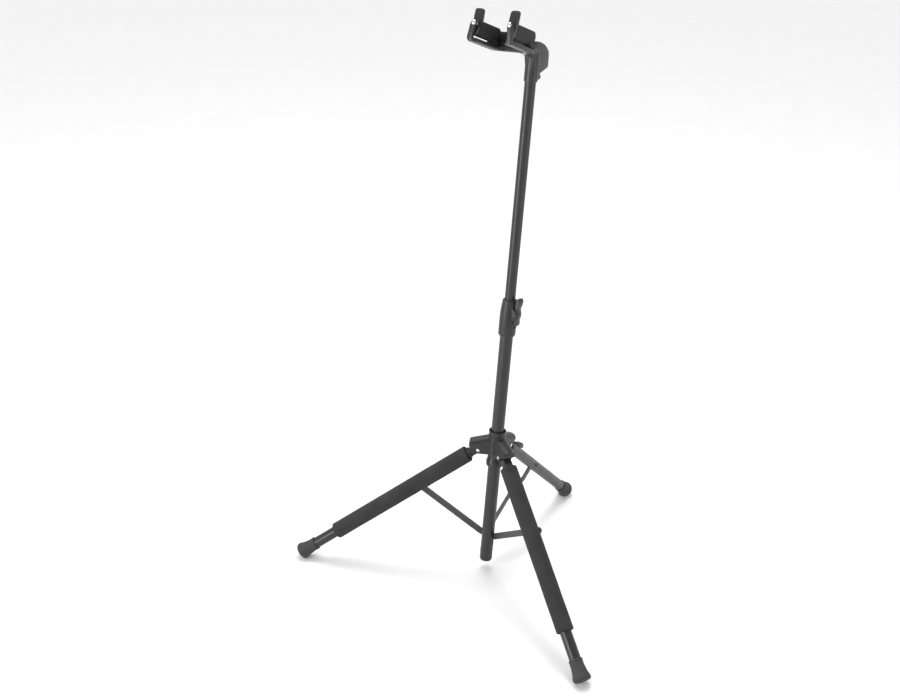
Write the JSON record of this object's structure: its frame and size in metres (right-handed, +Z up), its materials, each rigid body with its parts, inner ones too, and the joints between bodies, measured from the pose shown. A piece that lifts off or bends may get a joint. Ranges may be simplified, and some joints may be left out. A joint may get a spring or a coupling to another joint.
{
  "type": "hanging guitar stand",
  "caption": "Floor stand that hangs a guitar by its headstock: folding tripod with foam-covered front legs, telescopic mast, squeeze clutch and padded neck yoke with self-closing fingers.",
  "frame": {"origin": "on the floor, under the middle of the bounding box", "axes": "+Z up, -Y towards the player and the hung guitar, +X to the right of someone facing +Y"},
  "size_m": [0.6778, 0.5487, 1.1178],
  "materials": {
    "painted_steel": "satin black powder coat",
    "grey_steel": "satin dark grey coat",
    "strut_steel": "satin coat on rolled bar",
    "moulded_plastic": "fine moulded grain",
    "cast_paint": "textured paint on a casting",
    "foam": "matt closed-cell foam",
    "pad_rubber": "matt rubber",
    "foot_rubber": "matt moulded rubber",
    "bright_metal": "bright plated",
    "dark_metal": "black oxide"
  },
  "bodies": {
    "pole": {"pole_tube": "painted_steel", "pole_end_plug": "moulded_plastic", "pole_end_screw": "dark_metal", "clutch_body": "moulded_plastic", "clutch_grip_plate": "dark_metal", "clutch_spring": "bright_metal", "clutch_lever_pin": "dark_metal"},
    "clutch_lever": {"clutch_lever": "moulded_plastic"},
    "mast": {"mast_tube": "painted_steel", "mast_bottom_plug": "moulded_plastic", "head_housing": "cast_paint", "head_set_screw": "dark_metal"},
    "yoke": {"yoke_frame": "cast_paint", "yoke_washer": "bright_metal", "yoke_pivot_screw": "dark_metal", "gate_pin_left": "bright_metal", "gate_pin_right": "bright_metal", "gate_spring_left": "bright_metal", "gate_spring_right": "bright_metal"},
    "gate_left": {"gate_left": "cast_paint", "pad_left": "pad_rubber"},
    "gate_right": {"gate_right": "cast_paint", "pad_right": "pad_rubber"},
    "hub": {"hub_body": "moulded_plastic", "hub_bushing": "moulded_plastic", "hub_lock_screw": "dark_metal", "leg_pin_left": "bright_metal", "leg_pin_right": "bright_metal", "leg_pin_rear": "bright_metal"},
    "leg_left": {"leg_tube_left": "painted_steel", "leg_plug_left": "moulded_plastic", "foot_left": "foot_rubber", "strut_rivet_left": "dark_metal", "foam_left": "foam"},
    "strut_left": {"strut_left": "strut_steel"},
    "leg_right": {"leg_tube_right": "painted_steel", "leg_plug_right": "moulded_plastic", "foot_right": "foot_rubber", "strut_rivet_right": "dark_metal", "foam_right": "foam"},
    "strut_right": {"strut_right": "strut_steel"},
    "leg_rear": {"leg_tube_rear": "grey_steel", "leg_plug_rear": "moulded_plastic", "foot_rear": "foot_rubber", "strut_rivet_rear": "dark_metal"},
    "strut_rear": {"strut_rear": "strut_steel"}
  },
  "joints": [
    {"name": "mast_slide", "type": "slide", "parent": "pole", "child": "mast", "axis": [0, 0.0872, 0.9962], "range_m": [-0.36, 0.02]},
    {"name": "clutch_squeeze", "type": "hinge", "parent": "pole", "child": "clutch_lever", "pos_m": [0.0185, -0.02254, 0.55689], "axis": [0, -0.9962, 0.0872], "range_deg": [0, 3.5], "stiffness_Nm_per_rad": 0.4, "springref_deg": -17.19},
    {"name": "yoke_swivel", "type": "hinge", "parent": "mast", "child": "yoke", "pos_m": [0, 0.0189, 1.03058], "axis": [0, -0.9397, 0.342], "range_deg": [-23.2, 16.8]},
    {"name": "gate_left_turn", "type": "hinge", "parent": "yoke", "child": "gate_left", "pos_m": [-0.03402, -0.07977, 1.0811], "axis": [0, 0.9397, -0.342], "range_deg": [0, 75], "stiffness_Nm_per_rad": 0.06, "springref_deg": -34.38},
    {"name": "gate_right_turn", "type": "hinge", "parent": "yoke", "child": "gate_right", "pos_m": [0.03228, -0.07851, 1.08458], "axis": [0, -0.9397, 0.342], "range_deg": [0, 75], "stiffness_Nm_per_rad": 0.06, "springref_deg": -34.38},
    {"name": "hub_slide", "type": "slide", "parent": "pole", "child": "hub", "axis": [0, 0.0872, 0.9962], "range_m": [0, 0.12088]},
    {"name": "leg_left_hinge", "type": "hinge", "parent": "hub", "child": "leg_left", "pos_m": [-0.02979, -0.06469, 0.27248], "axis": [0.5, -0.8627, 0.0755], "range_deg": [0, 37.15]},
    {"name": "strut_left_hinge", "type": "hinge", "parent": "leg_left", "child": "strut_left", "pos_m": [-0.13578, -0.13425, 0.17954], "axis": [-0.5, 0.8627, -0.0755], "range_deg": [0, 73.65]},
    {"name": "leg_right_hinge", "type": "hinge", "parent": "hub", "child": "leg_right", "pos_m": [0.02979, -0.06469, 0.27248], "axis": [0.5, 0.8627, -0.0755], "range_deg": [0, 37.15]},
    {"name": "strut_right_hinge", "type": "hinge", "parent": "leg_right", "child": "strut_right", "pos_m": [0.13578, -0.13425, 0.17954], "axis": [-0.5, -0.8627, 0.0755], "range_deg": [0, 73.65]},
    {"name": "leg_rear_hinge", "type": "hinge", "parent": "hub", "child": "leg_rear", "pos_m": [0, -0.01329, 0.26798], "axis": [-1, 0, 0], "range_deg": [0, 36.54]},
    {"name": "strut_rear_hinge", "type": "hinge", "parent": "leg_rear", "child": "strut_rear", "pos_m": [0, 0.10185, 0.16095], "axis": [1, 0, 0], "range_deg": [0, 71.61]}
  ],
  "couplings": [
    {"joint": "leg_left_hinge", "follows": "hub_slide", "rad_per_m": 5.3614},
    {"joint": "strut_left_hinge", "follows": "hub_slide", "rad_per_m": 10.631},
    {"joint": "leg_right_hinge", "follows": "hub_slide", "rad_per_m": 5.3614},
    {"joint": "strut_right_hinge", "follows": "hub_slide", "rad_per_m": 10.631},
    {"joint": "leg_rear_hinge", "follows": "hub_slide", "rad_per_m": 5.2736},
    {"joint": "strut_rear_hinge", "follows": "hub_slide", "rad_per_m": 10.337}
  ]
}
